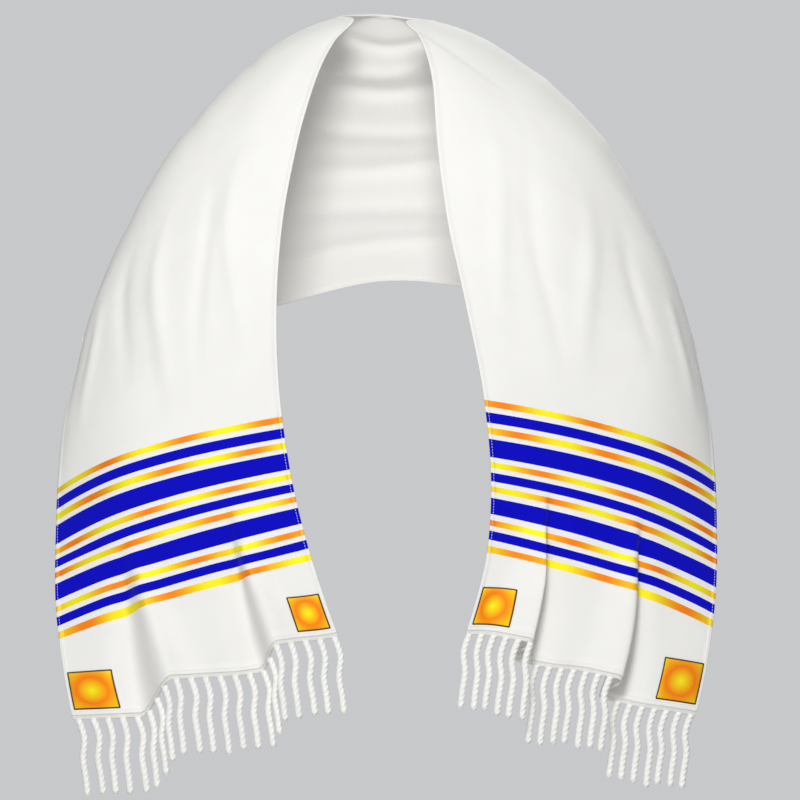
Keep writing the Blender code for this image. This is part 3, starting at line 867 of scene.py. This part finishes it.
# Painted sheen on the brocade: yellow in the middle and at the corners, orange in a ring between.
PATCH_SHEEN_YELLOW = (1.0, 0.92, 0.010, 1.0)
PATCH_SHEEN_ORANGE = (1.0, 0.22, 0.004, 1.0)
PATCH_SHEEN_RING = 0.36
PATCH_OUTSIDE = 0.88
PATCH_MAP_SIZE = 0.045
BROCADE_PITCH = 0.0011
BROCADE_METAL = 0.4
BROCADE_ROUGHNESS = 0.34
BROCADE_UNEVENNESS = 0.2

gold_brocade, tree, shader = new_material("gold_brocade", BROCADE_ROUGHNESS, sheen=0.1)
patch_map = add_node(tree, "ShaderNodeUVMap", uv_map="patch").outputs["UV"]
from_middle = add_node(
    tree,
    "ShaderNodeVectorMath",
    {0: patch_map, 1: (0.5, 0.5, 0.0)},
    operation="DISTANCE",
)
# The brocade's sheen is painted into its colour, as rings round the patch's middle.
painted_sheen_ring = add_node(tree, "ShaderNodeValToRGB", {"Fac": from_middle.outputs["Value"]})
painted_sheen_ring.color_ramp.interpolation = "LINEAR"
painted_sheen_ring.color_ramp.elements[0].position = 0.0
painted_sheen_ring.color_ramp.elements[0].color = PATCH_SHEEN_YELLOW
painted_sheen_ring.color_ramp.elements[1].position = PATCH_OUTSIDE
painted_sheen_ring.color_ramp.elements[1].color = PATCH_SHEEN_YELLOW
painted_sheen_ring.color_ramp.elements.new(PATCH_SHEEN_RING).color = PATCH_SHEEN_ORANGE
patch_place = add_node(
    tree,
    "ShaderNodeVectorMath",
    {0: patch_map, "Scale": PATCH_MAP_SIZE},
    operation="SCALE",
)
brocade = use_group(
    tree,
    plain_weave,
    {"Place": patch_place.outputs[0], "Thread Pitch": BROCADE_PITCH},
)
brocade_nap = use_nap(tree, patch_place.outputs[0], fuzz_scale=1600.0, tone_scale=90.0)
tree.links.new(painted_sheen_ring.outputs["Color"], shader.inputs["Base Color"])
metal = maths(tree, "MULTIPLY", brocade.outputs["Height"], BROCADE_METAL)
tree.links.new(metal, shader.inputs["Metallic"])
rougher = maths(tree, "MULTIPLY", brocade_nap.outputs["Tone"], BROCADE_UNEVENNESS)
tree.links.new(maths(tree, "ADD", BROCADE_ROUGHNESS, rougher), shader.inputs["Roughness"])
raise_relief(tree, shader, brocade.outputs["Height"], strength=0.5, distance=0.0003)

bronze_thread = thread_material("bronze_sewing_thread", BRONZE_LIGHT, BRONZE_SHADE, roughness=0.45)
satin_rows = []
for side in ("left", "right"):
    for edge in ("inner", "outer"):
        width = INNER_PATCH if edge == "inner" else OUTER_PATCH
        start = PATCH_START if edge == "inner" else CUT_WIDTH - PATCH_START - OUTER_PATCH
        low = PATCH_START if side == "left" else CUT_LENGTH - PATCH_START - PATCH_HEIGHT
        share = np.linspace(0, 1, PATCH_CELLS + 1)
        up, over = np.meshgrid(share, share, indexing="ij")
        across = start + over * width
        along = low + up * PATCH_HEIGHT
        inside = np.minimum(np.minimum(over, 1 - over), np.minimum(up, 1 - up))
        raised = np.sqrt(smooth_step(inside / PATCH_ROUNDING))[:, :, None]
        below = on_cloth(across, along, PATCH_LIFT)
        above = on_cloth(across, along, PATCH_LIFT + PATCH_THICKNESS)
        top = below + (above - below) * (PATCH_RIM + (1 - PATCH_RIM) * raised)
        name = f"corner_patch_{side}_{edge}"
        patch_places = np.stack([over, up], axis=-1)
        patch = closed_sheet(name, top, below, patch_places, "patch", gold_brocade)
        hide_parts(f"patch_{side}_{edge}")
        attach(patch, "root")
        steps = np.linspace(0, 1, SATIN_ROW_POINTS)
        flat = np.zeros_like(steps)
        for run_over, run_up in ((steps, flat), (steps, flat + 1), (flat, steps), (flat + 1, steps)):
            row_across = start + run_over * width
            row_along = low + run_up * PATCH_HEIGHT
            satin_rows.append(face_line(row_across, row_along, SATIN_LIFT))
patch_stitches = grown(
    "patch_edge_stitches",
    [line for line, outward in satin_rows],
    [outward for line, outward in satin_rows],
    stitch_row,
    SATIN_STITCH,
    bronze_thread,
)
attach(patch_stitches, "root")

# The fringe hangs from a narrow woven header under each hem. Each strand is three plies of
# soft white wool, twisted together. It waves a little as it hangs and ends in a rounded tip.
HEADER_HEIGHT = 0.005
HEADER_THICKNESS = 0.0022
SEAM_GAP = 0.0003
HEADER_CELLS = 4
HEADER_PITCH = 0.0016
STRAND_LENGTH = 0.092
STRAND_SIZES = {
    "Strand Radius": 0.0043,
    "Ply Depth": 0.17,
    "Twist Pitch": 0.021,
    "Ring Spacing": 0.0016,
    "Tip Start": 0.970,
    "Tip Size": 0.50,
}
STRAND_SIDES = 18
STRAND_POINTS = 24
LEFT_STRANDS = 21
RIGHT_STRANDS = 20
STRAND_MARGIN = 0.32
WAVE_VARIATION = 0.12
LENGTH_VARIATION = 0.03
STRAND_SEED = 7
STRAND_ROOT = 0.001
SWING = 0.0016
SWING_TURN = 5.0
SWING_STARTS = 6.0
STRAND_WHITE = (0.95, 0.94, 0.91, 1.0)
STRAND_SHADE = (0.88, 0.87, 0.83, 1.0)
HEADER_WHITE = (0.87, 0.86, 0.82, 1.0)
HEADER_SHADE = (0.76, 0.74, 0.69, 1.0)

# A strand's own wave. down is the share of its length, sway is its shift towards the opening.
Wave = namedtuple("Wave", "down sway")
STRAND_WAVE = [
    Wave(0.00, 0.0000),
    Wave(0.10, 0.0036),
    Wave(0.25, 0.0072),
    Wave(0.52, 0.0058),
    Wave(0.78, 0.0092),
    Wave(1.00, 0.0114),
]
sway_at = smooth_curve(column(STRAND_WAVE, "down"), column(STRAND_WAVE, "sway"))

fringe_wool, tree, shader = new_material("twisted_fringe_wool", roughness=0.9, sheen=0.3)
place = add_node(tree, "ShaderNodeTexCoord").outputs["Object"]
nap = use_nap(tree, place, fuzz_scale=1500.0, tone_scale=60.0)
white = blend(tree, nap.outputs["Tone"], STRAND_SHADE, STRAND_WHITE)
tree.links.new(white, shader.inputs["Base Color"])
raise_relief(tree, shader, nap.outputs["Fuzz"], strength=0.4, distance=0.0003)

header_wool, tree, shader = new_material("header_wool", roughness=0.9, sheen=0.2)
header_map = add_node(tree, "ShaderNodeUVMap", uv_map="header").outputs["UV"]
rib = use_group(tree, plain_weave, {"Place": header_map, "Thread Pitch": HEADER_PITCH})
nap = use_nap(tree, header_map, fuzz_scale=1500.0, tone_scale=60.0)
white = blend(tree, nap.outputs["Tone"], HEADER_SHADE, HEADER_WHITE)
tree.links.new(white, shader.inputs["Base Color"])
raise_relief(tree, shader, rib.outputs["Height"], strength=0.6, distance=0.0005)

twisted_strands, given, made = geometry_tree("twisted_strands", STRAND_SIZES)
strand_line = add_node(twisted_strands, "GeometryNodeMeshToCurve", {"Mesh": given.outputs["Geometry"]})
rings = add_node(
    twisted_strands,
    "GeometryNodeResampleCurve",
    {"Curve": strand_line.outputs[0], "Length": given.outputs["Ring Spacing"]},
    mode="LENGTH",
)
along_strand = add_node(twisted_strands, "GeometryNodeSplineParameter")
turns = maths(twisted_strands, "DIVIDE", along_strand.outputs["Length"], given.outputs["Twist Pitch"])
twist = maths(twisted_strands, "MULTIPLY", turns, 2 * math.pi)
twisted = add_node(twisted_strands, "GeometryNodeSetCurveTilt", {"Curve": rings.outputs[0], "Tilt": twist})
taper = add_node(
    twisted_strands,
    "ShaderNodeMapRange",
    {
        "Value": along_strand.outputs["Factor"],
        "From Min": given.outputs["Tip Start"],
        "From Max": 1.0,
        "To Min": 1.0,
        "To Max": given.outputs["Tip Size"],
    },
    interpolation_type="SMOOTHSTEP",
)
thick = maths(twisted_strands, "MULTIPLY", taper.outputs[0], given.outputs["Strand Radius"])
ply_circle = add_node(
    twisted_strands,
    "GeometryNodeCurvePrimitiveCircle",
    {"Resolution": STRAND_SIDES, "Radius": 1.0},
)
# Three plies lie side by side, so the strand's section has three lobes.
round_ply = add_node(twisted_strands, "GeometryNodeSplineParameter")
ply_turn = maths(twisted_strands, "MULTIPLY", round_ply.outputs["Factor"], 3 * math.pi)
lobes = maths(twisted_strands, "ABSOLUTE", maths(twisted_strands, "COSINE", ply_turn))
lobe_depth = maths(twisted_strands, "MULTIPLY", lobes, given.outputs["Ply Depth"])
base_size = maths(twisted_strands, "SUBTRACT", 1.0, given.outputs["Ply Depth"])
lobe_size = maths(twisted_strands, "ADD", base_size, lobe_depth)
ply_place = add_node(twisted_strands, "GeometryNodeInputPosition")
lobed = add_node(
    twisted_strands,
    "ShaderNodeVectorMath",
    {0: ply_place.outputs[0], "Scale": lobe_size},
    operation="SCALE",
)
ply_shape = add_node(
    twisted_strands,
    "GeometryNodeSetPosition",
    {"Geometry": ply_circle.outputs[0], "Position": lobed.outputs[0]},
)
cord = add_node(
    twisted_strands,
    "GeometryNodeCurveToMesh",
    {
        "Curve": twisted.outputs[0],
        "Profile Curve": ply_shape.outputs[0],
        "Scale": thick,
        "Fill Caps": True,
    },
)
smooth = add_node(twisted_strands, "GeometryNodeSetShadeSmooth", {"Geometry": cord.outputs[0]})
real = add_node(twisted_strands, "GeometryNodeRealizeInstances", {"Geometry": smooth.outputs[0]})
coloured = add_node(
    twisted_strands,
    "GeometryNodeSetMaterial",
    {"Geometry": real.outputs[0], "Material": given.outputs["Material"]},
)
twisted_strands.links.new(coloured.outputs[0], made.inputs["Geometry"])

fringes = []
chance = np.random.default_rng(STRAND_SEED)
for side, count, towards_opening in (("left", LEFT_STRANDS, 1), ("right", RIGHT_STRANDS, -1)):
    hem = 0 if side == "left" else -1
    down = -cloth_along[0] if side == "left" else cloth_along[-1]
    hem_middle = cloth_grid[hem]
    hem_out = cloth_outward[hem]
    share = np.linspace(0, 1, HEADER_CELLS + 1)[:, None, None]
    header_line = hem_middle + down * (SEAM_GAP + share * HEADER_HEIGHT)
    header_places = np.stack(np.broadcast_arrays(WIDTH_STOPS, share[:, :, 0] * HEADER_HEIGHT), axis=-1)
    header_face = header_line + hem_out * HEADER_THICKNESS / 2
    header_back = header_line - hem_out * HEADER_THICKNESS / 2
    name = f"fringe_header_{side}"
    header = closed_sheet(name, header_face, header_back, header_places, "header", header_wool)
    # The strands are even along the part of the hem that the folds leave in sight from the front.
    steps = np.diff(hem_middle, axis=0)
    reach = abs(hem_middle[:, 0] - hem_middle[0, 0])
    in_front = reach[1:] > np.maximum.accumulate(reach)[:-1]
    seen = np.where(in_front, np.linalg.norm(steps[:, [0, 2]], axis=1), 0)
    seen_lengths = np.concatenate([[0], np.cumsum(seen)])
    shares = (np.arange(count) + STRAND_MARGIN) / (count - 1 + 2 * STRAND_MARGIN)
    seats = np.interp(shares * seen_lengths[-1], seen_lengths, WIDTH_STOPS)
    falling = np.linspace(0, 1, STRAND_POINTS)
    lines = []
    outwards = []
    for seat in seats:
        root = np.array([np.interp(seat, WIDTH_STOPS, header_line[-1][:, axis]) for axis in range(3)])
        out = np.array([np.interp(seat, WIDTH_STOPS, hem_out[:, axis]) for axis in range(3)])
        longer = 1 + LENGTH_VARIATION * chance.uniform(-1, 1)
        wavier = 1 + WAVE_VARIATION * chance.uniform(-1, 1)
        sideways = towards_opening * sway_at(falling) * wavier
        forwards = SWING * np.sin(falling * SWING_TURN + chance.uniform(0, SWING_STARTS)) * falling
        upwards = STRAND_ROOT - falling * STRAND_LENGTH * longer
        line = root + np.stack([sideways, forwards, upwards], axis=-1)
        lines.append(line)
        outwards.append(np.broadcast_to(out, line.shape))
    strands = grown(
        f"fringe_strands_{side}",
        lines,
        outwards,
        twisted_strands,
        STRAND_SIZES,
        fringe_wool,
    )
    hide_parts(f"fringe_{side}")
    for piece in (header, strands):
        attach(piece, "root")
    fringes += [header, strands]

# The room is a plain pale floor, well below the shawl, under soft lights. The floor fades into
# the air far from the shawl. The camera looks straight at the front, from far enough away to
# keep the shawl's true proportions.
FLOOR_Z = -1.45
FLOOR_RADIUS = 5.0
FLOOR_SIDES = 96
FADE_START = 1.2
FADE_END = 4.6
FLOOR_GREY = (0.55, 0.555, 0.56, 1.0)
AIR_COLOUR = (0.57, 0.58, 0.595, 1.0)
AIR_LIGHT = 0.58
VIEW_CENTRE_X = 0.0168
VIEW_CENTRE_Z = -0.456
VIEW_WIDTH = 0.96
FRONT_PLANE_Y = -0.10
LENS = 1000.0
SENSOR = 36.0
SIGHT_LIMIT = 100.0

floor_mesh = bpy.data.meshes.new("floor")
shape = bmesh.new()
bmesh.ops.create_circle(shape, cap_ends=True, segments=FLOOR_SIDES, radius=FLOOR_RADIUS)
bmesh.ops.translate(shape, verts=shape.verts, vec=(0, 0, FLOOR_Z))
shape.to_mesh(floor_mesh)
shape.free()
floor_paint, tree, shader = new_material("pale_floor", roughness=0.9, sheen=0.0)
shader.inputs["Base Color"].default_value = FLOOR_GREY
place = add_node(tree, "ShaderNodeTexCoord").outputs["Object"]
level = add_node(tree, "ShaderNodeVectorMath", {0: place, 1: (1, 1, 0)}, operation="MULTIPLY")
away = add_node(tree, "ShaderNodeVectorMath", {0: level.outputs[0]}, operation="LENGTH")
fade = add_node(
    tree,
    "ShaderNodeMapRange",
    {
        "Value": away.outputs["Value"],
        "From Min": FADE_START,
        "From Max": FADE_END,
        "To Min": 1.0,
        "To Max": 0.0,
    },
    interpolation_type="SMOOTHSTEP",
)
tree.links.new(fade.outputs[0], shader.inputs["Alpha"])
floor_mesh.materials.append(floor_paint)
floor = bpy.data.objects.new("floor", floor_mesh)
bpy.context.scene.collection.objects.link(floor)

# The air looks brighter than the light it gives, so that the folds keep their shade.
world = bpy.data.worlds.new("studio_air")
world.use_nodes = True
air = world.node_tree
seen_directly = add_node(air, "ShaderNodeLightPath").outputs["Is Camera Ray"]
brightness = maths(air, "ADD", AIR_LIGHT, maths(air, "MULTIPLY", seen_directly, 1 - AIR_LIGHT))
air.nodes["Background"].inputs["Color"].default_value = AIR_COLOUR
air.links.new(brightness, air.nodes["Background"].inputs["Strength"])
bpy.context.scene.world = world
bpy.context.scene.view_settings.view_transform = "Standard"

Light = namedtuple("Light", "name x y z size power")
LIGHTS = [
    Light("key", -0.20, -3.4, 1.4, 1.0, 93.0),
    Light("fill", -0.6, -3.4, -0.2, 2.2, 15.0),
    Light("back", 0.9, 3.0, 1.5, 1.2, 72.0),
]
LIGHTS_AIM = np.array([0.0, 0.0, -0.45])
for row in LIGHTS:
    lamp = bpy.data.lights.new(row.name, "AREA")
    lamp.size = row.size
    lamp.energy = row.power
    holder = bpy.data.objects.new(row.name, lamp)
    holder.location = (row.x, row.y, row.z)
    aim = LIGHTS_AIM - np.array([row.x, row.y, row.z])
    pan = math.atan2(aim[0], -aim[1])
    tilt = math.atan2(math.hypot(aim[0], aim[1]), -aim[2])
    holder.rotation_euler = (tilt, 0, pan + math.pi)
    bpy.context.scene.collection.objects.link(holder)

camera_data = bpy.data.cameras.new("camera")
camera_data.lens = LENS
camera_data.sensor_width = SENSOR
camera_data.clip_end = SIGHT_LIMIT
camera = bpy.data.objects.new("camera", camera_data)
camera.location = (VIEW_CENTRE_X, FRONT_PLANE_Y - VIEW_WIDTH * LENS / SENSOR, VIEW_CENTRE_Z)
camera.rotation_euler = (math.pi / 2, 0, 0)
bpy.context.scene.collection.objects.link(camera)
bpy.context.scene.camera = camera
